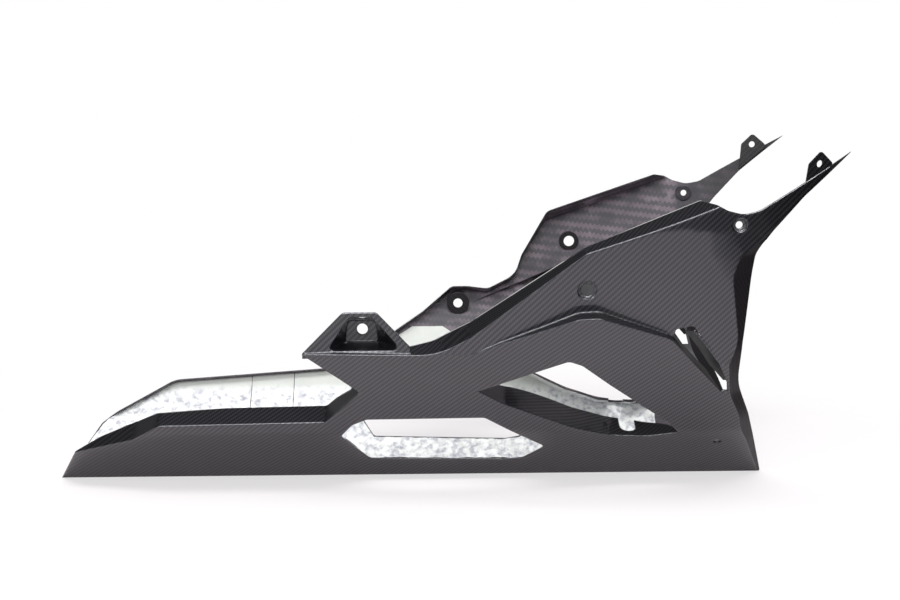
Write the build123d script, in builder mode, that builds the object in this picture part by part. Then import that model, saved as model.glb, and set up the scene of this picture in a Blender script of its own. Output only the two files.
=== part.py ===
"""Belly pan of a motorcycle: one moulded carbon shell, two bonded front tabs and a lining of heat foil.

Millimetres. X points to the front wheel, Y to the left of the motorcycle, Z up.
The flat keel stands on Z = 0.
"""
import os
from math import hypot

from build123d import *

os.makedirs("parts", exist_ok=True)

# overall
rear_x = -392.0
tip_x = 392.0
tip_z = 341.0
beyond = 60.0
plane_half = 240.0

# laminate and lining
wall = 2.0
foil = 0.6
foil_gap = 0.8
foil_margin = 3.0

# lower hull, one section along the whole length
keel_half = 20.0
skirt_top = 62.0
skirt_slope = 1.10
skirt_round = 60.0
band_slope = 0.72
hull_top = tip_z + beyond

# upper panel, which narrows towards the wing tips
panel_half = 186.0
panel_level = 277.0
panel_lean = 0.26
panel_bend_x = 100.0
tip_half = 140.0
tip_lean = 0.13
panel_foot = -20.0

# flanges: how far each one rises, or turns forward, for every millimetre that it runs inwards
rim_rise = 0.5
ledge_rise = 0.3
shelf_rise = 0.25
return_turn = 1.0
# depth of the lip along the lower edge of the slot, and width of the notch in the ledge
slot_lip = 14.0
notch_width = 16.0
notch_length = 32.0
notch_x = 196.0
notch_half = 54.0
# deepest that a rim flange may run in from the hull
rim_depth = 26.0

# fixing holes with their sunk flat seats
front_hole_d = 6.8
front_seat_d = 13.0
front_hole_x = 285.0
front_hole_z = 276.0
side_hole_d = 12.0
side_seat_d = 18.0
right_side_x = 145.0
right_side_z = 216.0
left_side_x = 154.0
left_side_z = 222.0
seat_depth = 4.0
left_ear_d = 10.6
left_ear_seat_d = 21.0
left_ear_x = 26.0
left_ear_z = 155.0
left_ear_depth = 9.0
drain_d = 8.0
drain_x = 286.0
drain_z = 45.0

# right ear: a tongue with a pocket whose back plate takes the fixing
ear_inset = 3.0
ear_foot_z = 152.0
ear_depth = 30.0
ear_hole_d = 10.6
ear_hole_x = -68.0
ear_hole_z = 173.0

# front tabs, placed from the wing tip
tab_wall = 2.0
tab_hole_d = 6.8
tab_hole_x = tip_x - 32.0
tab_hole_z = tip_z - 10.0


def skin(x, z):
    """Half-width of the lower hull at a height."""
    if z < skirt_top:
        return keel_half + skirt_slope * z
    return keel_half + skirt_slope * skirt_top + band_slope * (z - skirt_top)


def panel(x, z):
    """Half-width of the upper panel at a place along the pan and a height."""
    run = max(0.0, x - panel_bend_x) / (tip_x - panel_bend_x)
    lean = panel_lean + (tip_lean - panel_lean) * run
    return panel_half + (tip_half - panel_half) * run**3 + lean * (z - panel_level)


def side(x, z):
    """Half-width of whichever of the two surfaces is the outer one there."""
    return min(skin(x, z), panel(x, z))


def raised(points, rise, form):
    """Outline points on a surface, carried out to the sketch plane along the slope of a flange."""
    return [(x, z - rise * (plane_half - form(x, z)), r) for x, z, r in points]


def turned(points):
    """Outline points on the skin, carried out to the sketch plane along the turn of the front return."""
    return [(x - return_turn * (plane_half - side(x, z)), z, r) for x, z, r in points]


def lowered(points, drop):
    """The same outline points further down."""
    return [(x, z - drop, r) for x, z, r in points]


def strip(points, drop):
    """Closed outline of a strip of laminate that hangs below a line."""
    return points + lowered(reversed(points), drop)


def hull_section(inset):
    """Cross-section of the lower hull, inset by a thickness measured square to each face."""
    skirt_shift = inset * hypot(1, skirt_slope)
    band_shift = inset * hypot(1, band_slope)
    foot = keel_half + skirt_slope * inset - skirt_shift
    knee_z = skirt_top + (skirt_shift - band_shift) / (skirt_slope - band_slope)
    knee = keel_half + skirt_slope * knee_z - skirt_shift
    top = knee + band_slope * (hull_top - knee_z)
    with BuildSketch(Plane.YZ.offset(rear_x - beyond)) as section:
        with BuildLine():
            Polyline(
                (foot, inset), (knee, knee_z), (top, hull_top),
                (-top, hull_top), (-knee, knee_z), (-foot, inset), close=True,
            )
        make_face()
        fillet(section.vertices().filter_by_position(Axis.Y, knee_z - 1, knee_z + 1), skirt_round - inset)
    return section.sketch


def panel_section(level, inset):
    """Plan of the upper panel at a height."""
    shift = inset * hypot(1, panel_lean)
    wide = panel(panel_bend_x, level) - shift
    narrow = panel(tip_x, level) - shift
    third = (tip_x - panel_bend_x) / 3
    back = rear_x - beyond
    with BuildSketch(Plane.XY.offset(level)) as section:
        with BuildLine():
            Line((back, wide), (panel_bend_x, wide))
            Bezier((panel_bend_x, wide), (panel_bend_x + third, wide), (tip_x - third, wide), (tip_x, narrow))
            mirror(about=Plane.XZ)
            Line((tip_x, narrow), (tip_x, -narrow))
            Line((back, -wide), (back, wide))
        make_face()
    return section.sketch


def outline(plane, points):
    """Closed outline on a plane from corners given as place along, height and corner radius."""
    corners = [(x, z) for x, z, r in points]
    radii = [r for x, z, r in points]
    with BuildSketch(plane) as drawn:
        with BuildLine():
            FilletPolyline(*corners, radius=radii, close=True)
        make_face()
    return drawn.sketch


# planes outside the pan, on which side outlines are drawn
right_plane = Plane.XZ.offset(plane_half)
left_plane = Plane.XZ.offset(-plane_half)
floor_z = -260.0
sky_z = 420.0
far_rear = rear_x - beyond

# Outlines are lists of corners: place along the pan, height and corner radius.
# crease along the top of the right side, from the tail, round the exhaust cut-out, to the front peak
right_crease = [
    (far_rear, 20, 0), (-364, 39, 20), (-304, 55, 30), (-276, 72, 12), (-108, 75, 6), (-71, 110, 5),
    (-79, 117, 5), (-124, 155, 0), (1, 152, 60), (35, 169, 60), (143, 251, 15), (264, 294, 0),
]
# free edge of the flange above that crease
right_edge = [
    (-366, 39, 3), (-342, 52, 20), (-308, 66, 12), (-277, 81, 12), (-105, 91, 6), (-82, 108, 3),
    (-79, 117, 3), (-124, 155, 0), (-20, 159, 50), (1, 163, 50), (36, 181, 50), (143, 256, 15),
    (250, 298, 6), (264, 295, 6),
]
# the same two lines on the left, where the wall stands higher and has no cut-out
left_crease = [
    (far_rear, 10, 0), (-349, 48, 25), (-290, 77, 30), (-104, 88, 40), (-14, 143, 20), (19, 169, 10),
    (37, 169, 10), (60, 166, 15), (91, 181, 25), (99, 203, 20), (128, 246, 12), (143, 251, 8), (264, 294, 0),
]
left_edge = [
    (-366, 39, 3), (-349, 51, 25), (-290, 80, 30), (-104, 91, 40), (-14, 147, 20), (19, 174, 10),
    (37, 174, 10), (60, 171, 15), (91, 186, 25), (99, 208, 20), (128, 258, 12), (250, 298, 6), (264, 295, 6),
]
# wing and front, alike on both sides
chin_x = 318.0
chin_z = 270.0
bow_share = 0.62
bow_rise = 4.0
bow_x = tip_x + bow_share * (chin_x - tip_x)
bow_z = tip_z + bow_share * (chin_z - tip_z) + bow_rise
wing_edge = [(273, 290, 15), (288, 286, 20), (303, 289, 20), (tip_x, tip_z, 0)]
front_edge = [
    (bow_x, bow_z, 30), (chin_x, chin_z, 30), (305, 253, 40), (303, 226, 40), (296, 161, 60),
    (296, 118, 60), (313, 79, 60), (340, 2, 0), (340, floor_z, 0),
]
front_crease = [
    (338, 0, 0), (314, 49, 60), (302, 79, 60), (289, 104, 40), (285, 161, 60), (279, 226, 30), (287, 246, 20),
    (309, 261, 0),
]
# character line: the lower hull stands proud below it
arch_line = [
    (far_rear, 110, 0), (20, 146, 60), (64, 164, 60), (107, 179, 60), (137, 190, 20), (156, 191, 20),
    (225, 168, 20), (262, 128, 0),
]
# openings
low_window = [
    (-94, 57, 4), (-82, 71, 10), (-67, 78, 10), (50, 79, 10), (112, 40, 3), (91, 24, 8), (76, 22, 8),
    (-67, 25, 6),
]
mid_crease = [(43, 111, 0), (69, 95, 40), (140, 65, 80), (177, 55, 80), (214, 53, 60), (245, 58, 0)]
mid_top = [(234, 70, 4), (172, 116, 20), (143, 139, 12), (130, 144, 8), (101, 133, 20), (65, 119, 20)]
slot_crease = [(228, 166, 0), (250, 140, 30), (272, 116, 30), (287, 100, 0)]
slot_top = [(284, 118, 4), (272, 143, 30), (259, 163, 30), (246, 177, 5), (230, 174, 3)]
# free edge of the ledge under the middle window, in plan: place along and half-width
ledge_edge = [(36, 126), (69, 76), (140, 50), (205, 49), (252, 84)]
# inner wall of the slot, which runs in from its front edge: place along, height and depth
slot_wall = [(248, 175, 26), (262, 158, 28), (274, 138, 24), (283, 121, 8)]
slot_wall_turn = 0.35

rim_drop = wall * hypot(1, rim_rise)
shelf_drop = wall * hypot(1, shelf_rise)
ledge_drop = wall * hypot(1, ledge_rise)
return_drop = wall * hypot(1, return_turn)

# outlines of the regions that shape the mould, closed well outside the pan
above_wing = [(300, sky_z, 0), (500, sky_z, 0), (500, floor_z, 0), (far_rear, floor_z, 0)]
under_arch = [(262, floor_z, 0), (far_rear, floor_z, 0)]
behind_front = [
    (300, 270, 0), (600, 340, 0), (600, sky_z, 0), (-900, sky_z, 0), (-900, floor_z, 0), (118, floor_z, 0),
]
right_rim = outline(right_plane, raised(right_crease, rim_rise, side) + above_wing)
left_rim = outline(left_plane, raised(left_crease, rim_rise, side) + above_wing)
right_front = outline(right_plane, turned(front_crease) + behind_front)
right_arch = outline(right_plane, raised(arch_line, shelf_rise, skin) + under_arch)
rim_reach = plane_half * hypot(1, rim_rise)
shelf_reach = plane_half * hypot(1, shelf_rise)
return_reach = plane_half * hypot(1, return_turn)

# region under the two rim creases, sloping up inwards
with BuildPart() as rim:
    extrude(right_rim, amount=rim_reach, dir=(0, 1, rim_rise))
    extrude(left_rim, amount=rim_reach, dir=(0, -1, rim_rise))

# region behind the front creases, turning forward as it runs inwards
with BuildPart() as front:
    extrude(right_front, amount=return_reach, dir=(return_turn, 1, 0))
    mirror(about=Plane.XZ)

# region under the character line, whose shelf slopes up inwards
with BuildPart() as arch:
    extrude(right_arch, amount=shelf_reach, dir=(0, 1, shelf_rise))
    mirror(about=Plane.XZ)

# outside of the mould
with BuildPart() as outer_form:
    loft([panel_section(panel_foot, 0), panel_section(hull_top, 0)], ruled=True)
    add(arch.part)
    extrude(hull_section(0), amount=tip_x - rear_x + 2 * beyond, mode=Mode.INTERSECT)
    add(rim.part, mode=Mode.INTERSECT)
    add(front.part, mode=Mode.INTERSECT)

# inside of the mould, one wall further in
with BuildPart() as inner_form:
    loft([panel_section(panel_foot, wall), panel_section(hull_top, wall)], ruled=True)
    add(arch.part.moved(Location((0, 0, -shelf_drop))))
    extrude(hull_section(wall), amount=tip_x - rear_x + 2 * beyond, mode=Mode.INTERSECT)
    add(rim.part.moved(Location((0, 0, -rim_drop))), mode=Mode.INTERSECT)
    add(front.part.moved(Location((-return_drop, 0, 0))), mode=Mode.INTERSECT)

# side outlines that trim the free edges
tail = [(rear_x, floor_z, 0), (rear_x, 0, 0)]
right_trim = outline(Plane.XZ, tail + right_edge + wing_edge + front_edge)
left_trim = outline(Plane.XZ, tail + left_edge + wing_edge + front_edge)

with BuildPart() as trim:
    extrude(right_trim, amount=plane_half, dir=(0, -1, 0))
    extrude(left_trim, amount=plane_half, dir=(0, 1, 0))

# plan of the ledges, from their free edge outwards
with BuildSketch(Plane.XY) as ledge_plan:
    with BuildLine():
        Spline(*[(x, -half) for x, half in ledge_edge])
        Polyline(
            (ledge_edge[-1][0], -ledge_edge[-1][1]), (ledge_edge[-1][0], -plane_half),
            (ledge_edge[0][0], -plane_half), (ledge_edge[0][0], -ledge_edge[0][1]),
        )
    make_face()
    with Locations((notch_x, -notch_half)):
        SlotOverall(notch_length, notch_width, rotation=90, mode=Mode.SUBTRACT)

# ledge along the foot of the middle window and lip along the foot of the slot
mid_line = raised(mid_crease, ledge_rise, skin)
mid_ledge = outline(right_plane, strip(mid_line, ledge_drop))
slot_strip = outline(right_plane, strip(raised(slot_crease, rim_rise, side), 1.4 * rim_drop))
ledge_reach = plane_half * hypot(1, ledge_rise)
with BuildPart() as lip:
    extrude(slot_strip, amount=rim_reach / 2, dir=(0, 1, rim_rise))
    extrude(hull_section(slot_lip), amount=tip_x - rear_x + 2 * beyond, mode=Mode.SUBTRACT)
with BuildPart() as ledges:
    extrude(mid_ledge, amount=ledge_reach, dir=(0, 1, ledge_rise))
    extrude(ledge_plan.sketch, amount=hull_top, mode=Mode.INTERSECT)
    add(lip.part)
    mirror(about=Plane.XZ)
    add(outer_form.part, mode=Mode.INTERSECT)

# inner wall along the front edge of the slot, rooted in the laminate ahead of the opening
with BuildPart() as slot_walls:
    sections = []
    for x, z, depth in slot_wall:
        foot = Plane(
            origin=(x, -side(x, z), z), x_dir=(-slot_wall_turn, 1, 0),
            z_dir=(slot_wall[-1][0] - slot_wall[0][0], 0, slot_wall[-1][1] - slot_wall[0][1]),
        )
        with BuildSketch(foot) as section:
            Rectangle(depth, wall, align=(Align.MIN, Align.MIN))
        sections.append(section.sketch)
    loft(sections, ruled=True)
    mirror(about=Plane.XZ)
    add(outer_form.part, mode=Mode.INTERSECT)

# openings, cut along the slopes of their own flanges
mid_outline = outline(right_plane, raised(mid_crease + mid_top, ledge_rise, skin))
slot_outline = outline(right_plane, raised(slot_crease + slot_top, rim_rise, side))
low_outline = outline(Plane.XZ, low_window)
with BuildPart() as openings:
    extrude(mid_outline, amount=ledge_reach, dir=(0, 1, ledge_rise))
    extrude(slot_outline, amount=rim_reach / 2, dir=(0, 1, rim_rise))
    mirror(about=Plane.XZ)
    extrude(low_outline, amount=plane_half, both=True)

# seats sunk into the skin: place, half-width of the seat, size of the seat, size of the hole
front_seat = panel(front_hole_x, front_hole_z) - seat_depth
right_side_seat = panel(right_side_x, right_side_z) - seat_depth
left_side_seat = panel(left_side_x, left_side_z) - seat_depth
left_ear_seat = side(left_ear_x, left_ear_z) - left_ear_depth


def right_at(x, z, half):
    """Plane on the right side, facing out, at a half-width."""
    return Plane(origin=(x, -half, z), x_dir=(1, 0, 0), z_dir=(0, -1, 0))


def left_at(x, z, half):
    """Plane on the left side, facing out, at a half-width."""
    return Plane(origin=(x, half, z), x_dir=(1, 0, 0), z_dir=(0, 1, 0))


seats = [
    (right_at(front_hole_x, front_hole_z, front_seat), front_seat_d, front_hole_d),
    (left_at(front_hole_x, front_hole_z, front_seat), front_seat_d, front_hole_d),
    (right_at(right_side_x, right_side_z, right_side_seat), side_seat_d, side_hole_d),
    (left_at(left_side_x, left_side_z, left_side_seat), side_seat_d, side_hole_d),
    (left_at(left_ear_x, left_ear_z, left_ear_seat), left_ear_seat_d, left_ear_d),
]
seat_reach = 25.0
with BuildPart() as cups:
    for plane, seat_d, hole_d in seats:
        with BuildSketch(plane.offset(-wall)):
            Circle(seat_d / 2 + wall)
        extrude(amount=seat_reach)
    add(outer_form.part, mode=Mode.INTERSECT)
with BuildPart() as seat_cuts:
    for plane, seat_d, hole_d in seats:
        with BuildSketch(plane):
            Circle(seat_d / 2)
        extrude(amount=seat_reach)
        with BuildSketch(plane):
            Circle(hole_d / 2)
        extrude(amount=-2 * wall)

# small drain, square to each skirt
drain_half = skin(drain_x, drain_z)
drain_plane = Plane(origin=(drain_x, -drain_half, drain_z), x_dir=(1, 0, 0), z_dir=(0, -1, -skirt_slope))
with BuildPart() as drains:
    with BuildSketch(drain_plane):
        Circle(drain_d / 2)
    extrude(amount=3 * wall, both=True)
    mirror(about=Plane.XZ)

# right ear
ear_half = side(ear_hole_x, ear_foot_z) - ear_inset
ear_plane = Plane.XZ.offset(ear_half)
ear_back = Plane.XZ.offset(ear_half - ear_depth)
ear_outline = [(-124, 150, 0), (-124, 155, 0), (-85, 194, 7), (-53, 194, 5), (-21, 160, 4), (-21, 150, 0)]
pocket_mouth = [(-101, 157, 4), (-79, 190, 5), (-57, 190, 5), (-29, 157, 4)]
pocket_back = [(-85, 161, 3), (-82, 181, 4), (-55, 181, 4), (-53, 161, 3)]
with BuildPart() as ear:
    extrude(outline(ear_plane, ear_outline), amount=-wall)
    with BuildSketch(ear_plane) as mouth_out:
        add(outline(Plane.XY, pocket_mouth))
        offset(amount=wall, kind=Kind.INTERSECTION)
    with BuildSketch(ear_back.offset(-wall)) as back_out:
        add(outline(Plane.XY, pocket_back))
        offset(amount=wall, kind=Kind.INTERSECTION)
    loft([mouth_out.sketch, back_out.sketch], ruled=True)
with BuildPart() as ear_cut:
    loft([outline(ear_plane, pocket_mouth), outline(ear_back, pocket_back)], ruled=True)
    with BuildSketch(ear_back.offset(-2 * wall)):
        with Locations((ear_hole_x, ear_hole_z)):
            Circle(ear_hole_d / 2)
    extrude(amount=4 * wall)

# the shell itself
with BuildPart() as carbon_shell:
    add(outer_form.part)
    add(inner_form.part, mode=Mode.SUBTRACT)
    add(trim.part, mode=Mode.INTERSECT)
    extrude(hull_section(rim_depth), amount=-far_rear, mode=Mode.SUBTRACT)
    add(ledges.part)
    add(cups.part)
    add(ear.part)
    add(openings.part, mode=Mode.SUBTRACT)
    add(seat_cuts.part, mode=Mode.SUBTRACT)
    add(drains.part, mode=Mode.SUBTRACT)
    add(ear_cut.part, mode=Mode.SUBTRACT)
    add(slot_walls.part)
carbon_shell.part.label = "carbon_shell"
export_step(carbon_shell.part, "parts/carbon_shell.step")

# front tabs, bonded flat against the inside of each wing tip
tab_corners = [(-14, -28, 0), (-11, 0, 4), (1, 12, 3), (14, 0, 4), (10, -15, 0)]
tab_outline = [(tab_hole_x + x, tab_hole_z + z, r) for x, z, r in tab_corners]
tab_slope = 3 * (tip_half - panel_half) * (tab_hole_x - panel_bend_x) ** 2 / (tip_x - panel_bend_x) ** 3
tab_half = panel(tab_hole_x, tab_hole_z) - wall
tab_origin = (tab_hole_x, -tab_half, tab_hole_z)
tab_axis = Plane(origin=tab_origin, x_dir=(1, -tab_slope, 0), z_dir=(-tab_slope, -1, -tip_lean))
with BuildPart() as tab_right:
    loft([panel_section(panel_foot, wall), panel_section(hull_top, wall)], ruled=True)
    loft(
        [panel_section(panel_foot, wall + tab_wall), panel_section(hull_top, wall + tab_wall)],
        ruled=True, mode=Mode.SUBTRACT,
    )
    extrude(outline(Plane.XZ, tab_outline), amount=plane_half, mode=Mode.INTERSECT)
    with BuildSketch(tab_axis):
        Circle(tab_hole_d / 2)
    extrude(amount=4 * tab_wall, both=True, mode=Mode.SUBTRACT)
tab_right.part.label = "tab_right"
export_step(tab_right.part, "parts/tab_right.step")

with BuildPart() as tab_left:
    add(tab_right.part)
    mirror(about=Plane.XZ, mode=Mode.REPLACE)
tab_left.part.label = "tab_left"
export_step(tab_left.part, "parts/tab_left.step")

# heat foil: three sheets stuck to the inside of the hull, butted at two seams
foil_rear_x = -352.0
seam_rear_x = -205.0
seam_front_x = -158.0
foil_front_x = 240.0
foil_foot = [(foil_front_x, floor_z, 0), (foil_rear_x, floor_z, 0)]
# the lining runs up into the root of the ledge and is then cut off along its underside
ledge_root = ledge_drop / 2 - ledge_rise * wall * hypot(1, band_slope)
foil_fore = lowered(mid_crease[:5], ledge_root) + [(foil_front_x, 53, 0)]
right_foil = [
    (foil_rear_x, 38, 0), (-300, 51, 10), (-272, 67, 10), (-108, 70, 6), (-66, 106, 3), (-74, 116, 3),
    (-98, 138, 0), (-4, 138, 10),
]
left_foil = [(foil_rear_x, 43, 0), (-290, 73, 20), (-104, 84, 30), (-26, 130, 10), (8, 130, 8)]
right_cover = outline(Plane.XZ, right_foil + foil_fore + foil_foot)
left_cover = outline(Plane.XZ, left_foil + foil_fore + foil_foot)
with BuildSketch(Plane.XZ) as foil_window:
    add(low_outline)
    offset(amount=foil_margin, kind=Kind.INTERSECTION)
with BuildPart() as foil_region:
    extrude(right_cover, amount=plane_half, dir=(0, -1, 0))
    extrude(left_cover, amount=plane_half, dir=(0, 1, 0))
    extrude(foil_window.sketch, amount=plane_half, both=True, mode=Mode.SUBTRACT)
foil_drop = foil * hypot(1, ledge_rise)
ledge_lining = outline(right_plane, strip(lowered(mid_line, ledge_drop), foil_drop))
with BuildPart() as ledge_foil:
    extrude(ledge_lining, amount=ledge_reach, dir=(0, 1, ledge_rise))
    extrude(ledge_plan.sketch, amount=hull_top, mode=Mode.INTERSECT)
    mirror(about=Plane.XZ)
    extrude(hull_section(wall), amount=foil_front_x - far_rear, mode=Mode.INTERSECT)
with BuildPart() as lining:
    extrude(hull_section(wall), amount=tip_x - rear_x)
    extrude(hull_section(wall + foil), amount=tip_x - rear_x, mode=Mode.SUBTRACT)
    add(foil_region.part, mode=Mode.INTERSECT)
    add(ledges.part, mode=Mode.SUBTRACT)
    add(ledge_foil.part)

with BuildPart() as foil_rear:
    add(lining.part)
    split(bisect_by=Plane.YZ.offset(seam_rear_x), keep=Keep.BOTTOM)
foil_rear.part.label = "foil_rear"
export_step(foil_rear.part, "parts/foil_rear.step")

with BuildPart() as foil_strip:
    add(lining.part)
    split(bisect_by=Plane.YZ.offset(seam_rear_x + foil_gap), keep=Keep.TOP)
    split(bisect_by=Plane.YZ.offset(seam_front_x), keep=Keep.BOTTOM)
foil_strip.part.label = "foil_strip"
export_step(foil_strip.part, "parts/foil_strip.step")

with BuildPart() as foil_main:
    add(lining.part)
    split(bisect_by=Plane.YZ.offset(seam_front_x + foil_gap), keep=Keep.TOP)
foil_main.part.label = "foil_main"
export_step(foil_main.part, "parts/foil_main.step")
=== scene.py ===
"""Looks of a motorcycle belly pan: clear-coated twill carbon shell, bonded tabs and crinkled foil lining."""
from math import hypot, radians

import bmesh
import bpy
import numpy as np
from mathutils import Matrix, Vector


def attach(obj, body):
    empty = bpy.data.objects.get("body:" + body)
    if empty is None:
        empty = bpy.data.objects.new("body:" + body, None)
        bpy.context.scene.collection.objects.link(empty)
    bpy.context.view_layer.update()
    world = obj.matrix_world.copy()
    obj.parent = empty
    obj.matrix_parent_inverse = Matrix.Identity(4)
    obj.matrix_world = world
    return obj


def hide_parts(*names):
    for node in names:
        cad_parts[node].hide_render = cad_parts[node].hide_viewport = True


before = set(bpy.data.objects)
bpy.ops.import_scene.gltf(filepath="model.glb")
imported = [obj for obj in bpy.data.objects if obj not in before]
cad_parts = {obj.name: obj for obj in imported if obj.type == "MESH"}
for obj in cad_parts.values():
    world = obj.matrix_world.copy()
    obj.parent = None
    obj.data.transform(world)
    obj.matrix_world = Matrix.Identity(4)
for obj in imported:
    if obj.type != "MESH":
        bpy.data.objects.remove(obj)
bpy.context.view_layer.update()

# Carbon shell: one laminate of twill cloth and epoxy, laid up in a female mould.
# The mould side is glossy clear coat, the inside is bare resin over a coarser cloth.
# Faces that turn away from the mould are sanded dull and nearly black.
MM = 0.001
MERGE = 0.01
# width of one tow in the outer and in the inner cloth, in mm as all sizes of the pan
TOW = 1.5
INNER_TOW = 3.6
INNER_SLANT = radians(38)
# hull section: flat keel, skirt and the steeper band above it, with the run outwards for each mm up
KEEL_HALF = 20.0
SKIRT_TOP = 62.0
SKIRT_SLOPE = 1.10
BAND_SLOPE = 0.72
PANEL_LEAN = 0.26
# faces that lean less than this from each other are shaded as one, and sharper creases are rounded
CREASE_ANGLE = radians(10)
EDGE_ROUND = 2.6
INNER_ROUND = 1.0
ROUND_SAMPLES = 8
# slot near the front: the zone of its wall and lips, which are painted dark as shade, and the bulge in its
# front edge
SLOT_X = (222.0, 290.0)
SLOT_Z = (98.0, 184.0)
BULGE_X = (256.5, 261.0)
BULGE_Z = (162.5, 169.0)
BULGE_DEPTH = 2.3
FRONT_X = 250.0
# sunk seats of the fixing holes: place along, height and side
SEATS = ((145.0, 216.0, -1), (154.0, 222.0, 1), (26.0, 155.0, 1))
SEAT_REACH = 12.0
# shares of a face's normal along one axis, which tell the kinds of face apart
FLANGE_UP = 0.84
TURNED = 0.5
UPRIGHT = 0.4
FORWARD = 0.4
MOULD_OUT = 0.12
RETURN_OUT = 0.3
KEEL_DOWN = 0.95
CUT_OUT = 0.05
SEAT_WALL_OUT = 0.6
# where painted shade darkens the inner laminate: towards the wing tips, and in the depth of the front
TIP_DARK_X = (270.0, 320.0)
DEEP_X = (100.0, 130.0)
DEEP_TOP_Z = (200.0, 180.0)
DEEP_FOOT_Z = (90.0, 105.0)


def ink(code):
    """Linear colour with alpha from an sRGB hex code."""
    channels = np.array([int(code[i:i + 2], 16) for i in (1, 3, 5)]) / 255
    linear = np.where(channels <= 0.04045, channels / 12.92, ((channels + 0.055) / 1.055) ** 2.4)
    return (*linear.tolist(), 1.0)


def add_node(tree, kind, feeds=None, **settings):
    """One node with its settings; a feed is a value for an input or an output socket linked to it.

    A colour mix takes its share in input 0 and its colours in 6 and 7. A map range takes its value in 0,
    the limits of that value in 1 and 2 and the results at those limits in 3 and 4, or 0 to 1 without them.
    """
    node = tree.nodes.new(kind)
    for name, value in settings.items():
        setattr(node, name, value)
    for place, feed in (feeds or {}).items():
        if isinstance(feed, bpy.types.NodeSocket):
            tree.links.new(feed, node.inputs[place])
        else:
            node.inputs[place].default_value = feed
    return node


def new_material(name):
    """New node material without nodes, and its tree."""
    made = bpy.data.materials.new(name)
    made.use_nodes = True
    made.node_tree.nodes.clear()
    return made, made.node_tree


def weave(tree, place, tow):
    """2 by 2 twill on a place in mm: which tow is on top, and the rounded crown across that tow.

    Cell (i, j) is floor(u / tow), floor(v / tow); the warp is on top where (i - j) mod 4 is under 2.
    """
    split = add_node(tree, "ShaderNodeSeparateXYZ", {0: place})
    across = add_node(tree, "ShaderNodeMath", {0: split.outputs[0], 1: tow}, operation="DIVIDE")
    along = add_node(tree, "ShaderNodeMath", {0: split.outputs[1], 1: tow}, operation="DIVIDE")
    column = add_node(tree, "ShaderNodeMath", {0: across.outputs[0]}, operation="FLOOR")
    row = add_node(tree, "ShaderNodeMath", {0: along.outputs[0]}, operation="FLOOR")
    step = add_node(
        tree, "ShaderNodeMath", {0: column.outputs[0], 1: row.outputs[0]}, operation="SUBTRACT"
    )
    turn = add_node(tree, "ShaderNodeMath", {0: step.outputs[0], 1: 4.0}, operation="FLOORED_MODULO")
    warp = add_node(tree, "ShaderNodeMath", {0: turn.outputs[0], 1: 1.5}, operation="LESS_THAN")
    crown_u = add_node(tree, "ShaderNodeMath", {0: across.outputs[0], 1: 0.5}, operation="PINGPONG")
    crown_v = add_node(tree, "ShaderNodeMath", {0: along.outputs[0], 1: 0.5}, operation="PINGPONG")
    crown = add_node(
        tree, "ShaderNodeMix",
        {0: warp.outputs[0], 2: crown_v.outputs[0], 3: crown_u.outputs[0]}, data_type="FLOAT",
    )
    return warp.outputs[0], crown.outputs[0]


def joined_copy(node):
    """Mesh copy of a CAD node with its loose triangles joined."""
    joined = bmesh.new()
    joined.from_mesh(node.data)
    bmesh.ops.remove_doubles(joined, verts=joined.verts, dist=MERGE * MM)
    mesh = bpy.data.meshes.new(node.name + "_look")
    joined.to_mesh(mesh)
    joined.free()
    return mesh


def mesh_values(items, name, width, kind=float):
    """One property of all the vertices, corners or faces of a mesh, with a row for each."""
    values = np.empty(len(items) * width, kind)
    items.foreach_get(name, values)
    return values.reshape(-1, width)


def cloth_height(z):
    """Length of cloth from the keel edge up the section: skirt first, then the steeper band."""
    skirt = hypot(1, SKIRT_SLOPE) * np.minimum(z, SKIRT_TOP)
    return skirt + hypot(1, BAND_SLOPE) * np.maximum(z - SKIRT_TOP, 0)


def blended_normals(normals, areas, corners, limit):
    """Normal at each corner of a triangle mesh.

    It is the area-weighted mean of the faces at its vertex that lean less than the limit from its own face.
    Corners are sorted by vertex and each is compared with the next ones in that list, one shift at a time.
    """
    order = np.argsort(corners, kind="stable")
    vertex = corners[order]
    own = normals[order // 3]
    weighted = own * areas[order // 3, None]
    total = weighted.copy()
    for shift in range(1, np.bincount(vertex).max()):
        near = vertex[shift:] == vertex[:-shift]
        near &= (own[shift:] * own[:-shift]).sum(1) > np.cos(limit)
        total[shift:][near] += weighted[:-shift][near]
        total[:-shift][near] += weighted[shift:][near]
    blended = np.empty_like(total)
    blended[order] = total / np.linalg.norm(total, axis=1, keepdims=True)
    return blended


shell_mesh = joined_copy(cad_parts["carbon_shell"])
points = mesh_values(shell_mesh.vertices, "co", 3) / MM
# the bulge in the front edge of each slot is drawn back to the slot's wall, so that no gap shows beside it
bulge = (points[:, 0] > BULGE_X[0]) & (points[:, 0] < BULGE_X[1])
bulge &= (points[:, 2] > BULGE_Z[0]) & (points[:, 2] < BULGE_Z[1])
points[bulge, 0] -= BULGE_DEPTH
shell_mesh.vertices.foreach_set("co", points.ravel() * MM)
shell_mesh.update()
corners = mesh_values(shell_mesh.loops, "vertex_index", 1, np.int32).ravel()
normals = mesh_values(shell_mesh.polygons, "normal", 3)
centres = mesh_values(shell_mesh.polygons, "center", 3) / MM
areas = mesh_values(shell_mesh.polygons, "area", 1).ravel()
face_count = len(areas)
side = np.where(centres[:, 1] < 0, -1.0, 1.0)
outward = side * normals[:, 1]

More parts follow.
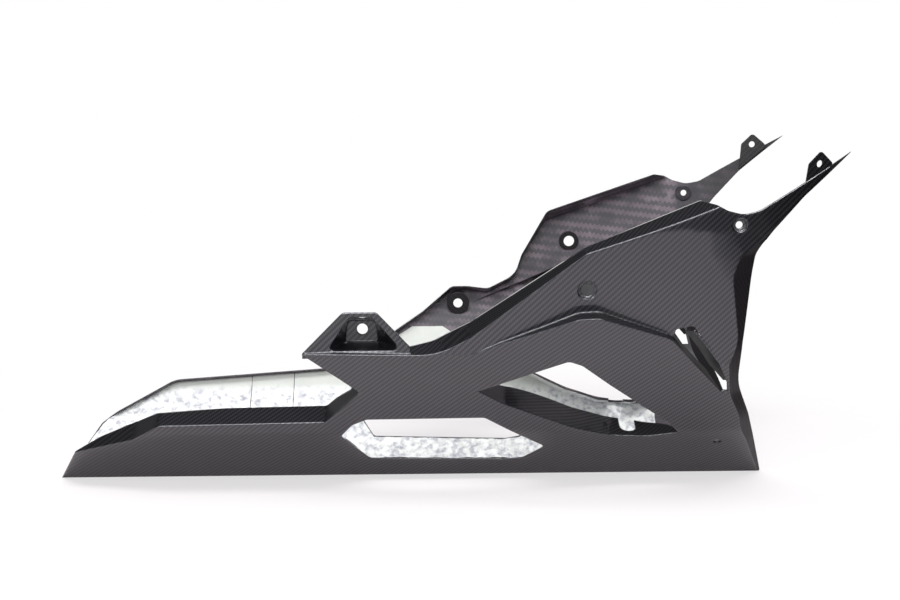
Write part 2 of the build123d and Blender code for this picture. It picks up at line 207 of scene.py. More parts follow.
# Cloth coordinates in mm: u along the pan and v up the section, turned with the cloth on flanges and returns.
place = points[corners]
face_of = np.repeat(np.arange(face_count), 3)
half = np.abs(place[:, 1])
flange = np.abs(normals[face_of, 2]) > FLANGE_UP
turned = np.abs(normals[face_of, 0]) > TURNED
steep = np.abs(normals[face_of, 2]) < UPRIGHT
cloth_u = np.where(turned, np.sqrt(2) * half, place[:, 0])
upward = np.where(steep, hypot(1, PANEL_LEAN) * place[:, 2], cloth_height(place[:, 2]))
cloth_v = np.where(flange, -half, np.where(turned, place[:, 2], upward))
cloth = np.column_stack([cloth_u, -side[face_of] * cloth_v])
shell_mesh.uv_layers.new(name="cloth").data.foreach_set("uv", cloth.ravel())

# Each face gets its finish: 0 coated on the mould side, 1 bare inside, 2 dull on returns and, as painted
# shade, on the slot and seats.
keel_face = (normals[:, 2] < -KEEL_DOWN) & (centres[:, 2] < 1)
cut_edge = np.abs(normals[:, 1]) < CUT_OUT
mould_side = (outward > MOULD_OUT) | keel_face | cut_edge | (normals[:, 0] > FORWARD)
# the slot's wall and lips, and the faces turned back beyond its start, are made dark as painted shade
slot_zone = (centres[:, 0] > SLOT_X[0]) & (centres[:, 0] < SLOT_X[1])
slot_zone &= (centres[:, 2] > SLOT_Z[0]) & (centres[:, 2] < SLOT_Z[1])
dull_and_shaded_face = slot_zone & (np.abs(normals[:, 0]) > TURNED) & (np.abs(normals[:, 2]) > UPRIGHT)
dull_and_shaded_face |= (normals[:, 0] < -TURNED) & (centres[:, 0] > SLOT_X[0])
dull_and_shaded_face |= (normals[:, 0] > FORWARD) & (outward > RETURN_OUT) & (centres[:, 0] > FRONT_X)
# the sides of the sunk seats, and on the left also what shows of the seats inside, made dark as painted shade
for seat_x, seat_z, seat_side in SEATS:
    at_seat = np.hypot(centres[:, 0] - seat_x, centres[:, 2] - seat_z) < SEAT_REACH
    at_seat &= side == seat_side
    dull_and_shaded_face |= at_seat & (np.abs(normals[:, 1]) < SEAT_WALL_OUT)
    dull_and_shaded_face |= at_seat & (side > 0) & (outward < 0)
finish = np.where(dull_and_shaded_face, 2, np.where(mould_side, 0, 1))
shell_mesh.polygons.foreach_set("material_index", finish.astype(np.int32))
shell_mesh.polygons.foreach_set("use_smooth", np.ones(face_count, bool))
shell_mesh.normals_split_custom_set(blended_normals(normals, areas, corners, CREASE_ANGLE))

# Clear-coated twill: dark fibres under a hard polished film, so the room shows in it and the cloth only just.
# The film has a slow ripple of about 45 mm, which bends the reflections a little.
coated, tree = new_material("clear_coated_twill")
cloth_map = add_node(tree, "ShaderNodeUVMap", uv_map="cloth")
warp_top, crown = weave(tree, cloth_map.outputs[0], TOW)
tone = add_node(
    tree, "ShaderNodeMix", {0: warp_top, 6: ink("#303034"), 7: ink("#4d4d52")}, data_type="RGBA"
)
# painted shade: each tow is lighter along its middle and darker at its edges, as if lit across its rounded
# crown
shade = add_node(tree, "ShaderNodeMath", {0: crown, 1: 0.7, 2: 0.68}, operation="MULTIPLY_ADD")
fibre_with_crown_shade = add_node(
    tree, "ShaderNodeMix", {0: 1.0, 6: tone.outputs[2], 7: shade.outputs[0]},
    data_type="RGBA", blend_type="MULTIPLY",
)
film_place = add_node(tree, "ShaderNodeTexCoord")
ripple = add_node(
    tree, "ShaderNodeTexNoise",
    {"Vector": film_place.outputs["Object"], "Scale": 1 / (45 * MM), "Detail": 1.0},
)
soft_edge = add_node(tree, "ShaderNodeBevel", {"Radius": EDGE_ROUND * MM}, samples=ROUND_SAMPLES)
film = add_node(
    tree, "ShaderNodeBump",
    {"Strength": 1.0, "Distance": 0.25 * MM, "Height": ripple.outputs[0], "Normal": soft_edge.outputs[0]},
)
coated_fibre = add_node(
    tree, "ShaderNodeBsdfPrincipled",
    {
        "Base Color": fibre_with_crown_shade.outputs[2], "Metallic": 1.0, "Roughness": 0.42, "Normal": soft_edge.outputs[0],
        "Coat Weight": 1.0, "Coat Roughness": 0.04, "Coat IOR": 1.5, "Coat Normal": film.outputs[0],
    },
)
add_node(tree, "ShaderNodeOutputMaterial", {0: coated_fibre.outputs[0]})

# Bare inner laminate: coarse cloth at a slant under uneven resin, blotched dark where resin is short, with
# pale blotches that are painted glints. Blotches are about 26 mm across. It has painted shade towards the wing
# tips and in the front.
bare, tree = new_material("bare_inner_laminate")
cloth_map = add_node(tree, "ShaderNodeUVMap", uv_map="cloth")
slant = add_node(
    tree, "ShaderNodeMapping", {"Vector": cloth_map.outputs[0], "Rotation": (0, 0, INNER_SLANT)}
)
warp_top, _ = weave(tree, slant.outputs[0], INNER_TOW)
tone = add_node(
    tree, "ShaderNodeMix", {0: warp_top, 6: ink("#4c494f"), 7: ink("#6e636b")}, data_type="RGBA"
)
inner_place = add_node(tree, "ShaderNodeTexCoord")
resin = add_node(
    tree, "ShaderNodeTexNoise",
    {"Vector": inner_place.outputs["Object"], "Scale": 1 / (26 * MM), "Detail": 6.0},
)
short = add_node(tree, "ShaderNodeMapRange", {0: resin.outputs[0], 1: 0.56, 2: 0.42, 3: 0.0, 4: 0.8})
blotched = add_node(
    tree, "ShaderNodeMix", {0: short.outputs[0], 6: tone.outputs[2], 7: ink("#3c3a40")}, data_type="RGBA"
)
# painted glints: pale blotches where the resin noise is high
painted_glint = add_node(tree, "ShaderNodeMapRange", {0: resin.outputs[0], 1: 0.6, 2: 0.72, 3: 0.0, 4: 0.7})
with_painted_glints = add_node(
    tree, "ShaderNodeMix", {0: painted_glint.outputs[0], 6: blotched.outputs[2], 7: ink("#9a9099")}, data_type="RGBA"
)
inner_axes = add_node(tree, "ShaderNodeSeparateXYZ", {0: inner_place.outputs["Object"]})
to_tip = add_node(
    tree, "ShaderNodeMapRange",
    {0: inner_axes.outputs[0], 1: TIP_DARK_X[0] * MM, 2: TIP_DARK_X[1] * MM, 3: 0.0, 4: 0.85},
)
in_front = add_node(
    tree, "ShaderNodeMapRange", {0: inner_axes.outputs[0], 1: DEEP_X[0] * MM, 2: DEEP_X[1] * MM}
)
below = add_node(
    tree, "ShaderNodeMapRange", {0: inner_axes.outputs[2], 1: DEEP_TOP_Z[0] * MM, 2: DEEP_TOP_Z[1] * MM}
)
above = add_node(
    tree, "ShaderNodeMapRange", {0: inner_axes.outputs[2], 1: DEEP_FOOT_Z[0] * MM, 2: DEEP_FOOT_Z[1] * MM}
)
between = add_node(
    tree, "ShaderNodeMath", {0: below.outputs[0], 1: above.outputs[0]}, operation="MULTIPLY"
)
deep = add_node(
    tree, "ShaderNodeMath", {0: in_front.outputs[0], 1: between.outputs[0]}, operation="MULTIPLY"
)
# painted shade: the inner laminate goes dark towards the wing tips and in the depth of the front
painted_inner_shade = add_node(
    tree, "ShaderNodeMath", {0: to_tip.outputs[0], 1: deep.outputs[0]}, operation="MAXIMUM"
)
inner_tone = add_node(
    tree, "ShaderNodeMix", {0: painted_inner_shade.outputs[0], 6: with_painted_glints.outputs[2], 7: ink("#242327")}, data_type="RGBA"
)
gloss = add_node(tree, "ShaderNodeMapRange", {0: resin.outputs[0], 1: 0.35, 2: 0.7, 3: 0.3, 4: 0.6})
soft_edge = add_node(tree, "ShaderNodeBevel", {"Radius": INNER_ROUND * MM}, samples=ROUND_SAMPLES)
bare_resin = add_node(
    tree, "ShaderNodeBsdfPrincipled",
    {
        "Base Color": inner_tone.outputs[2], "Roughness": gloss.outputs[0], "Specular IOR Level": 0.2,
        "Normal": soft_edge.outputs[0],
    },
)
add_node(tree, "ShaderNodeOutputMaterial", {0: bare_resin.outputs[0]})

# Satin return laminate: faces that turn away from the mould, sanded dull and nearly black, cloth just seen.
# The same dark laminate is laid on the slot's wall and lips and on the sunk seats as painted shade.
satin_and_shade, tree = new_material("satin_return_and_shade_laminate")
cloth_map = add_node(tree, "ShaderNodeUVMap", uv_map="cloth")
warp_top, _ = weave(tree, cloth_map.outputs[0], TOW)
tone = add_node(
    tree, "ShaderNodeMix", {0: warp_top, 6: ink("#1a181a"), 7: ink("#242124")}, data_type="RGBA"
)
soft_edge = add_node(tree, "ShaderNodeBevel", {"Radius": INNER_ROUND * MM}, samples=ROUND_SAMPLES)
sanded = add_node(
    tree, "ShaderNodeBsdfPrincipled",
    {
        "Base Color": tone.outputs[2], "Roughness": 0.45, "Specular IOR Level": 0.2,
        "Normal": soft_edge.outputs[0],
    },
)
add_node(tree, "ShaderNodeOutputMaterial", {0: sanded.outputs[0]})

for laminate in (coated, bare, satin_and_shade):
    shell_mesh.materials.append(laminate)
shell = bpy.data.objects.new("shell", shell_mesh)
bpy.context.scene.collection.objects.link(shell)
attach(shell, "root")
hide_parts("carbon_shell")

# Front tabs: small plates cut from flat carbon sheet and bonded inside the wing tips.
# They show the same fine twill without the deep clear coat of the shell.
# Each is trimmed along the lower edge of its wing, on a plane given by a point and its normal.
TRIM_POINT = (390.7, 0.0, 342.5)
TRIM_NORMAL = (0.657, 0.0, -0.754)
TRIM_NEAR = 0.001

# Satin carbon plate: twill under a thin rubbed resin, so it is darker than the shell and has a soft shine.
plate, tree = new_material("carbon_plate_satin")
plate_place = add_node(tree, "ShaderNodeTexCoord")
upright = add_node(
    tree, "ShaderNodeMapping",
    {
        "Vector": plate_place.outputs["Object"], "Rotation": (radians(-90), 0, 0),
        "Scale": (1 / MM, 1 / MM, 1 / MM),
    },
)
warp_top, _ = weave(tree, upright.outputs[0], TOW)
tone = add_node(
    tree, "ShaderNodeMix", {0: warp_top, 6: ink("#151517"), 7: ink("#242427")}, data_type="RGBA"
)
rubbed_plate = add_node(
    tree, "ShaderNodeBsdfPrincipled",
    {"Base Color": tone.outputs[2], "Roughness": 0.3, "Specular IOR Level": 0.35},
)
add_node(tree, "ShaderNodeOutputMaterial", {0: rubbed_plate.outputs[0]})

for name in ("tab_right", "tab_left"):
    tab_mesh = joined_copy(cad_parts[name])
    # each plate is trimmed along the lower edge of its wing, so that no corner hangs below the blade
    trimmed = bmesh.new()
    trimmed.from_mesh(tab_mesh)
    cut = bmesh.ops.bisect_plane(
        trimmed, geom=trimmed.verts[:] + trimmed.edges[:] + trimmed.faces[:], dist=TRIM_NEAR * MM,
        plane_co=np.array(TRIM_POINT) * MM, plane_no=TRIM_NORMAL, clear_outer=True,
    )
    cut_edges = [edge for edge in cut["geom_cut"] if isinstance(edge, bmesh.types.BMEdge)]
    bmesh.ops.holes_fill(trimmed, edges=cut_edges)
    bmesh.ops.recalc_face_normals(trimmed, faces=trimmed.faces)
    trimmed.to_mesh(tab_mesh)
    trimmed.free()
    tab_mesh.polygons.foreach_set("use_smooth", np.zeros(len(tab_mesh.polygons), bool))
    tab_mesh.materials.clear()
    tab_mesh.materials.append(plate)
    tab = bpy.data.objects.new(name + "_plate", tab_mesh)
    bpy.context.scene.collection.objects.link(tab)
    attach(tab, "root")
    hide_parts(name)

# Heat foil: three sheets of embossed aluminium foil with a glued backing, pressed by hand into the hull.
# The tops lie smooth, the folds gather lower down, and the sheets butt at two seams.
# Each sheet has a name and two ends along the pan.
SHEETS = (("foil_rear", -389.0, -205.0), ("foil_strip", -204.2, -158.0), ("foil_main", -157.2, 240.0))
FOIL_INSET = 2.3
FOIL_THICK = 0.4
FOIL_CELL = 2.0
FOIL_MERGE = 0.02
# section that the foil follows: rounding between skirt and band, points on it, and height where it ends
SKIRT_ROUND = 60.0
ROUND_POINTS = 9
SECTION_TOP = 200.0
# upper and lower edge of the low window
WINDOW_X = (-95.2, -82.8, -67.5, 50.4, 113.8)
WINDOW_HIGH = (57.0, 72.0, 79.0, 80.0, 40.2)
SILL_X = (-95.2, -67.3, 76.3, 91.5, 113.8)
SILL_Z = (57.0, 24.0, 21.0, 23.0, 40.2)
# top edges of the foil: in the front on both sides, then on each side, and the cheek by the right ear
FORE_X = (43.0, 69.0, 140.0, 177.0, 214.0, 240.0)
FORE_Z = (109.4, 93.4, 63.4, 53.4, 51.4, 51.6)
LEFT_X = (-389.0, -364.0, -352.0, -290.0, -104.0, -26.0, 8.0) + FORE_X
LEFT_Z = (3.5, 38.0, 46.4, 76.3, 87.3, 130.0, 130.0) + FORE_Z
RIGHT_X = (-389.0, -364.0, -352.0, -300.0, -272.0, -108.0, -66.0)
RIGHT_Z = (3.5, 35.0, 38.0, 51.0, 67.0, 70.0, 106.0)
CHEEK_X = (-98.0, -74.0, -66.0)
CHEEK_Z = (138.0, 116.0, 106.0)
CHEEK_TOP = 138.0
CHEEK_END = -4.0
# folds as seed, spacing and slope; they calm between two heights, and lean with the band above the knee
FOLDS = ((5, 14.0, 0.10), (6, 5.5, 0.15))
FOLD_REACH = (400, 200)
FOLD_BATCH = 400
CALM_Z = (58, 70)
CALM_SHARE = 0.85
KNEE_Z = 66
# ledges above the foil: crease line, rise inwards, free edge in plan, notch, and the foil's margin at both
LEDGE_X = (43.0, 69.0, 140.0, 177.0, 214.0, 245.0)
LEDGE_Z = (111.0, 95.0, 65.0, 55.0, 53.0, 58.0)
LEDGE_RISE = 0.3
LEDGE_WALL = 2.1
LEDGE_EDGE_X = (36.0, 69.0, 140.0, 205.0, 252.0)
LEDGE_EDGE_HALF = (126.0, 76.0, 50.0, 49.0, 84.0)
LEDGE_MARGIN = 2.0
LEDGE_LEAST = 1.0
LEDGE_FOLD = (8, 9.0, 0.1)
LEDGE_FOLD_SHARE = 0.3
NOTCH_X = 196.0
NOTCH_HALF = 62.0
NOTCH_ROUND = 8.0
NOTCH_MARGIN = 1.0
# the foil's folds with painted shade end between these heights, and the smooth top above them is painted
# darker as shade
GATHERED_Z = (74.0, 64.0)


def hull_line(inset):
    """Right half of the inset hull section as points (half-width, height), with an arc at the knee."""
    skirt_shift = inset * hypot(1, SKIRT_SLOPE)
    band_shift = inset * hypot(1, BAND_SLOPE)
    knee_z = SKIRT_TOP + (skirt_shift - band_shift) / (SKIRT_SLOPE - BAND_SLOPE)
    knee = KEEL_HALF + SKIRT_SLOPE * knee_z - skirt_shift
    foot = KEEL_HALF + SKIRT_SLOPE * inset - skirt_shift
    low, high = np.arctan(SKIRT_SLOPE), np.arctan(BAND_SLOPE)
    round_r = SKIRT_ROUND - inset
    reach = round_r * np.tan((low - high) / 2)
    start = np.array([knee - reach * np.sin(low), knee_z - reach * np.cos(low)])
    centre = start + round_r * np.array([-np.cos(low), np.sin(low)])
    angle = np.linspace(low, high, ROUND_POINTS)
    arc = centre + round_r * np.column_stack([np.cos(angle), -np.sin(angle)])
    top = np.array([knee + BAND_SLOPE * (SECTION_TOP - knee_z), SECTION_TOP])
    return np.vstack([[0.0, inset], [foot, inset], arc, top])


def crumple(along, up, seed, spacing, slope):
    """Height of crumpled sheet: slope times the distance to the nearest of many scattered dents."""
    rng = np.random.default_rng(seed)
    reach_x, reach_up = FOLD_REACH
    count = int(4 * reach_x * reach_up / spacing**2)
    dents = rng.uniform((-reach_x, -reach_up), (reach_x, reach_up), (count, 2))
    spots = np.column_stack([along.ravel(), up.ravel()])
    nearest = np.full(len(spots), np.inf)
    for start in range(0, count, FOLD_BATCH):
        gap = spots[:, None, :] - dents[None, start:start + FOLD_BATCH, :]
        nearest = np.minimum(nearest, np.sqrt((gap**2).sum(2)).min(1))
    return slope * nearest.reshape(along.shape)


def foil_patch(x, low, high, hand):
    """Grid of foil between two heights at each x, on the right (-1) or left (+1) wall, as an array (n, m, 3).

    Arc length runs evenly from the low height to the high one; a crumple lifts each point square to the wall.
    """
    line = hull_line(FOIL_INSET)
    length = np.concatenate([[0], np.cumsum(np.hypot(*np.diff(line, axis=0).T))])
    rising = line[1:]
    s_low = np.where(low <= FOIL_INSET, 0.0, np.interp(low, rising[:, 1], length[1:]))
    s_high = np.interp(high, rising[:, 1], length[1:])
    rows = max(2, int(np.max(s_high - s_low) / FOIL_CELL))
    t = np.linspace(0, 1, rows)
    s = s_low[:, None] + (s_high - s_low)[:, None] * t
    along = np.repeat(x[:, None], rows, 1)
    wide = np.interp(s, length, line[:, 0])
    tall = np.interp(s, length, line[:, 1])
    calm = np.clip((tall - CALM_Z[0]) / (CALM_Z[1] - CALM_Z[0]), 0, 1)
    lift = sum(crumple(along, hand * s, *fold) for fold in FOLDS)
    lift = lift * (1 - CALM_SHARE * calm)
    tilt = np.where(tall < KNEE_Z, np.arctan(SKIRT_SLOPE), np.arctan(BAND_SLOPE))
    tilt = np.where(s < length[1], np.pi / 2, tilt)
    wide = wide - lift * np.cos(tilt)
    tall = tall + lift * np.sin(tilt)
    return np.stack([along, hand * wide, tall], 2)


def foil_mesh(name, patches):
    """One mesh of all the patches of a sheet, with the seams between them joined."""
    points, faces, start = [], [], 0
    for grid in patches:
        n, m = grid.shape[:2]
        index = start + np.arange(n * m).reshape(n, m)
        quads = np.stack([index[:-1, :-1], index[1:, :-1], index[1:, 1:], index[:-1, 1:]], 2).reshape(-1, 4)
        points.append(grid.reshape(-1, 3))
        faces.append(quads)
        start += n * m
    mesh = bpy.data.meshes.new(name)
    mesh.from_pydata(np.vstack(points) * MM, [], np.vstack(faces).tolist())
    joined = bmesh.new()
    joined.from_mesh(mesh)
    bmesh.ops.remove_doubles(joined, verts=joined.verts, dist=FOIL_MERGE * MM)
    bmesh.ops.recalc_face_normals(joined, faces=joined.faces)
    joined.to_mesh(mesh)
    joined.free()
    mesh.polygons.foreach_set("use_smooth", np.zeros(len(mesh.polygons), bool))
    return mesh


def columns(first, last):
    """Places along the pan between two ends, close together, with every corner of the outlines among them."""
    corners = np.array(WINDOW_X + SILL_X + LEFT_X + RIGHT_X + CHEEK_X + (CHEEK_END,))
    even = np.linspace(first, last, int((last - first) / FOIL_CELL) + 1)
    return np.unique(np.concatenate([even, corners[(corners > first) & (corners < last)]]))


def ledge_patch(x, hand):
    """Foil stuck under a ledge, as an array (n, m, 3).

    The ledge rises inwards from its crease: z = crease + rise * (skin - |y|), less the laminate over the foil.
    Its free edge is the curve of fourth degree through the five edge points, widened round the notch.
    """
    crease = np.interp(x, LEDGE_X, LEDGE_Z)
    skirt = SKIRT_SLOPE * np.minimum(crease, SKIRT_TOP)
    skin = KEEL_HALF + skirt + BAND_SLOPE * np.maximum(crease - SKIRT_TOP, 0)
    root = skin - FOIL_INSET * hypot(1, SKIRT_SLOPE)
    edge = np.polyval(np.polyfit(LEDGE_EDGE_X, LEDGE_EDGE_HALF, 4), x) + LEDGE_MARGIN
    notch = NOTCH_HALF + np.sqrt(np.clip(NOTCH_ROUND**2 - (x - NOTCH_X) ** 2, 0, None)) + NOTCH_MARGIN
    edge = np.where(np.abs(x - NOTCH_X) < NOTCH_ROUND, np.maximum(notch, edge), edge)
    edge = np.minimum(edge, root - LEDGE_LEAST)
    rows = int(np.max(root - edge) / FOIL_CELL)
    t = np.linspace(0, 1, rows)
    half = root[:, None] + (edge - root)[:, None] * t
    along = np.repeat(x[:, None], rows, 1)
    drop = LEDGE_WALL + FOIL_THICK + LEDGE_FOLD_SHARE * crumple(along, half, *LEDGE_FOLD)
    height = crease[:, None] + LEDGE_RISE * (skin[:, None] - half) - drop
    return np.stack([along, hand * half, height], 2)


# Aluminium heat foil: rolled and pale, smooth where it lies flat, with painted grey shade in the folds of its
# lower part, so that part looks mottled; the smooth top is painted a little darker as shade. The folds are
# about 6 mm across.
foil, tree = new_material("aluminium_heat_foil")
foil_place = add_node(tree, "ShaderNodeTexCoord")
fold = add_node(
    tree, "ShaderNodeTexNoise",
    {"Vector": foil_place.outputs["Object"], "Scale": 1 / (6 * MM), "Detail": 4.0},
)
dent = add_node(
    tree, "ShaderNodeBump", {"Strength": 0.5, "Distance": 0.4 * MM, "Height": fold.outputs[0]}
)
worn = add_node(tree, "ShaderNodeMapRange", {0: fold.outputs[0], 1: 0.3, 2: 0.7, 3: 0.42, 4: 0.6})
foil_axes = add_node(tree, "ShaderNodeSeparateXYZ", {0: foil_place.outputs["Object"]})
gathered = add_node(
    tree, "ShaderNodeMapRange", {0: foil_axes.outputs[2], 1: GATHERED_Z[0] * MM, 2: GATHERED_Z[1] * MM}
)
# painted shade: grey mottle in the folds of the lower part
rubbed = add_node(tree, "ShaderNodeMapRange", {0: fold.outputs[0], 1: 0.46, 2: 0.7})
painted_fold_shade = add_node(
    tree, "ShaderNodeMath", {0: rubbed.outputs[0], 1: gathered.outputs[0]}, operation="MULTIPLY"
)
# painted shade: the smooth top is darker than the lower foil
foil_tone_with_shaded_top = add_node(
    tree, "ShaderNodeMix", {0: gathered.outputs[0], 6: ink("#cbcec9"), 7: ink("#f0f2f0")}, data_type="RGBA"
)
silver = add_node(
    tree, "ShaderNodeMix", {0: painted_fold_shade.outputs[0], 6: foil_tone_with_shaded_top.outputs[2], 7: ink("#b2b2be")}, data_type="RGBA"
)
bright = add_node(
    tree, "ShaderNodeBsdfPrincipled",
    {
        "Base Color": silver.outputs[2], "Metallic": 0.25, "Roughness": worn.outputs[0],
        "Normal": dent.outputs[0],
    },
)
add_node(tree, "ShaderNodeOutputMaterial", {0: bright.outputs[0]})

for name, first, last in SHEETS:
    x = columns(first, last)
    keel = np.zeros_like(x)
    low = np.interp(x, SILL_X, SILL_Z)
    high = np.interp(x, WINDOW_X, WINDOW_HIGH)
    left_top = np.interp(x, LEFT_X, LEFT_Z)
    right_top = np.interp(x, RIGHT_X + (CHEEK_END,) + FORE_X, RIGHT_Z + (CHEEK_TOP,) + FORE_Z)
    right_top = np.where((x > RIGHT_X[-1]) & (x < CHEEK_END), CHEEK_TOP, right_top)
    patches = []
    for hand, top in ((1, left_top), (-1, right_top)):
        patches.append(foil_patch(x, keel, np.minimum(low, top), hand))
        for part in (x <= RIGHT_X[-1], x >= RIGHT_X[-1]):
            if part.sum() > 1:
                patches.append(foil_patch(x[part], np.minimum(high, top)[part], top[part], hand))
    # only the main sheet reaches the cheek and the ledges
    cheek = x[(x >= CHEEK_X[0]) & (x <= CHEEK_X[-1])]
    if len(cheek) > 1:
        cheek_low = np.interp(cheek, CHEEK_X, CHEEK_Z)
        patches.append(foil_patch(cheek, cheek_low, np.full_like(cheek, CHEEK_TOP), -1))
        under = x[x >= LEDGE_X[0]]
        patches += [ledge_patch(under, 1), ledge_patch(under, -1)]
    sheet_mesh = foil_mesh(name + "_look", patches)
    sheet_mesh.materials.append(foil)
    sheet = bpy.data.objects.new(name + "_sheet", sheet_mesh)
    bpy.context.scene.collection.objects.link(sheet)
    body = sheet.modifiers.new("thickness", "SOLIDIFY")
    body.thickness = FOIL_THICK * MM
    body.offset = 0.0
    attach(sheet, "root")
    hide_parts(name)

# Stage: a pale paper floor that runs out to white, soft boxes overhead and in front, and a room with a dim
# ceiling. It is not part of the pan. All its sizes are in metres.
PAPER = 9.0
PAPER_FRONT = 0.64
PAPER_NEAR = -0.56
# the paper fades to white between these distances from the pan, and nearer the camera already sees this share
# of painted white glow, a painted light that lifts the pan's shadow
FADE = (0.42, 0.62)
FADE_LEAST = 0.55
# the dark edge of the paper ahead of the pan, seen only in the gloss
DARK_X = (0.44, 0.52)
# the room as directions: its dim ceiling, its dark end ahead of the pan, and the dark ground before the paper
CEILING = (0.02, 0.2)
AHEAD = (0.45, 0.65)
GROUND = (-0.36, -0.5)
# camera at the photograph's viewing angle
VIEW_POINT = (0.017, -1.577, 0.432)
VIEW_DOWN = 9.03
VIEW_ROLL = -0.57
LENS = 61.2
SENSOR = 36.0

floor_mesh = bpy.data.meshes.new("floor")
floor_mesh.from_pydata(
    [(-PAPER, PAPER_NEAR, 0), (PAPER_FRONT, PAPER_NEAR, 0), (PAPER_FRONT, PAPER, 0), (-PAPER, PAPER, 0)],
    [], [(0, 1, 2, 3)],
)
floor = bpy.data.objects.new("floor", floor_mesh)
bpy.context.scene.collection.objects.link(floor)
# White paper floor: matt and pale, so it takes the shadow of the pan, lifted by a painted glow, and then runs
# out to plain white.
paper, tree = new_material("white_paper_floor")
floor_place = add_node(tree, "ShaderNodeTexCoord")
reach = add_node(tree, "ShaderNodeVectorMath", {0: floor_place.outputs["Object"]}, operation="LENGTH")
fade = add_node(
    tree, "ShaderNodeMapRange", {0: reach.outputs["Value"], 1: FADE[0], 2: FADE[1], 3: FADE_LEAST},
    interpolation_type="SMOOTHSTEP",
)
ray = add_node(tree, "ShaderNodeLightPath")
seen = add_node(
    tree, "ShaderNodeMath", {0: ray.outputs["Is Camera Ray"], 1: fade.outputs[0]}, operation="MULTIPLY"
)
floor_axes = add_node(tree, "ShaderNodeSeparateXYZ", {0: floor_place.outputs["Object"]})
gone = add_node(tree, "ShaderNodeMapRange", {0: floor_axes.outputs[0], 1: DARK_X[0], 2: DARK_X[1]})
unseen = add_node(
    tree, "ShaderNodeMath", {0: 1.0, 1: ray.outputs["Is Camera Ray"]}, operation="SUBTRACT"
)
dark = add_node(
    tree, "ShaderNodeMath", {0: gone.outputs[0], 1: unseen.outputs[0]}, operation="MULTIPLY"
)
paper_tone = add_node(
    tree, "ShaderNodeMix", {0: dark.outputs[0], 6: ink("#f4edf0"), 7: ink("#2a2829")}, data_type="RGBA"
)
matt = add_node(tree, "ShaderNodeBsdfDiffuse", {"Color": paper_tone.outputs[2]})
# painted light: the camera sees the paper glow white, by the fade's share even near the pan, so its shadow is
# lighter
painted_glow_white = add_node(tree, "ShaderNodeEmission", {"Color": ink("#ffffff"), "Strength": 1.0})
both = add_node(
    tree, "ShaderNodeMixShader", {0: seen.outputs[0], 1: matt.outputs[0], 2: painted_glow_white.outputs[0]}
)
add_node(tree, "ShaderNodeOutputMaterial", {0: both.outputs[0]})
floor_mesh.materials.append(paper)


def soft_box(name, place, aim, size, power):
    """Area lamp of a width and a height at a place, turned to an aim point, in metres and watts."""
    lamp = bpy.data.lights.new(name, "AREA")
    lamp.shape = "RECTANGLE"
    lamp.size, lamp.size_y = size
    lamp.energy = power
    box = bpy.data.objects.new(name, lamp)
    box.location = place
    box.rotation_euler = (Vector(aim) - Vector(place)).to_track_quat("-Z", "Y").to_euler()
    bpy.context.scene.collection.objects.link(box)
    return box


soft_box("overhead_box", place=(-0.1, -0.6, 2.1), aim=(0.0, 0.0, 0.1), size=(2.0, 0.7), power=24)
soft_box("crease_strip", place=(0.0, -2.0, 1.65), aim=(0.0, 0.0, 0.15), size=(3.2, 0.22), power=22)
# a strip that shows only in the gloss of the shell, as the line of light along its creases
glint = soft_box("glint_strip", place=(0.0, -1.75, 1.9), aim=(0.0, 0.0, 0.15), size=(3.0, 0.7), power=100)
glint.visible_diffuse = False
glossy_pieces = bpy.data.collections.new("glossy_pieces")
glossy_pieces.objects.link(shell)
glint.light_linking.receiver_collection = glossy_pieces
soft_box("front_box", place=(-1.6, -2.2, 1.5), aim=(0.0, 0.0, 0.15), size=(1.4, 1.4), power=10)

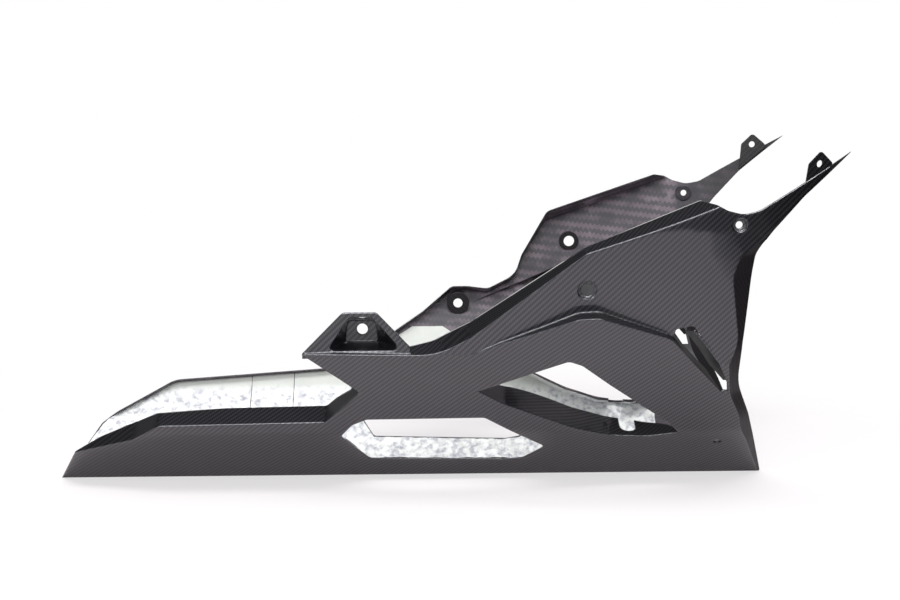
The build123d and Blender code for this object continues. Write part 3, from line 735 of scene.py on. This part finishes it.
room = bpy.data.worlds.new("room")
room.use_nodes = True
tree = room.node_tree
tree.nodes.clear()
direction = add_node(tree, "ShaderNodeTexCoord")
compass = add_node(tree, "ShaderNodeSeparateXYZ", {0: direction.outputs["Generated"]})
ceiling = add_node(
    tree, "ShaderNodeMapRange", {0: compass.outputs[2], 1: CEILING[0], 2: CEILING[1]},
    interpolation_type="SMOOTHSTEP",
)
ahead = add_node(
    tree, "ShaderNodeMapRange", {0: compass.outputs[0], 1: AHEAD[0], 2: AHEAD[1]},
    interpolation_type="SMOOTHSTEP",
)
ground = add_node(
    tree, "ShaderNodeMapRange", {0: compass.outputs[2], 1: GROUND[0], 2: GROUND[1]},
    interpolation_type="SMOOTHSTEP",
)
walls = add_node(
    tree, "ShaderNodeMix", {0: ahead.outputs[0], 6: ink("#ffffff"), 7: ink("#1f1c1a")}, data_type="RGBA"
)
low_room = add_node(
    tree, "ShaderNodeMix", {0: ground.outputs[0], 6: walls.outputs[2], 7: ink("#2a2829")}, data_type="RGBA"
)
room_tone = add_node(
    tree, "ShaderNodeMix", {0: ceiling.outputs[0], 6: low_room.outputs[2], 7: ink("#464648")},
    data_type="RGBA",
)
ray = add_node(tree, "ShaderNodeLightPath")
backing = add_node(
    tree, "ShaderNodeMix", {0: ray.outputs["Is Camera Ray"], 6: room_tone.outputs[2], 7: ink("#ffffff")},
    data_type="RGBA",
)
mirrored = add_node(
    tree, "ShaderNodeMath", {0: ray.outputs["Is Camera Ray"], 1: ray.outputs["Is Glossy Ray"]},
    operation="MAXIMUM",
)
shown = add_node(
    tree, "ShaderNodeMath", {0: mirrored.outputs[0], 1: ray.outputs["Is Transmission Ray"]},
    operation="MAXIMUM",
)
backdrop = add_node(tree, "ShaderNodeBackground", {"Color": backing.outputs[2], "Strength": 1.0})
ambient = add_node(tree, "ShaderNodeBackground", {"Color": ink("#f2f2f4"), "Strength": 0.75})
sky = add_node(
    tree, "ShaderNodeMixShader", {0: shown.outputs[0], 1: ambient.outputs[0], 2: backdrop.outputs[0]}
)
add_node(tree, "ShaderNodeOutputWorld", {0: sky.outputs[0]})
bpy.context.scene.world = room

lens = bpy.data.cameras.new("camera")
lens.sensor_fit = "HORIZONTAL"
lens.sensor_width = SENSOR
lens.lens = LENS
camera = bpy.data.objects.new("camera", lens)
camera.matrix_world = (
    Matrix.Translation(VIEW_POINT)
    @ Matrix.Rotation(radians(90 - VIEW_DOWN), 4, "X")
    @ Matrix.Rotation(radians(VIEW_ROLL), 4, "Z")
)
bpy.context.scene.collection.objects.link(camera)
bpy.context.scene.camera = camera
bpy.context.scene.view_settings.view_transform = "Standard"
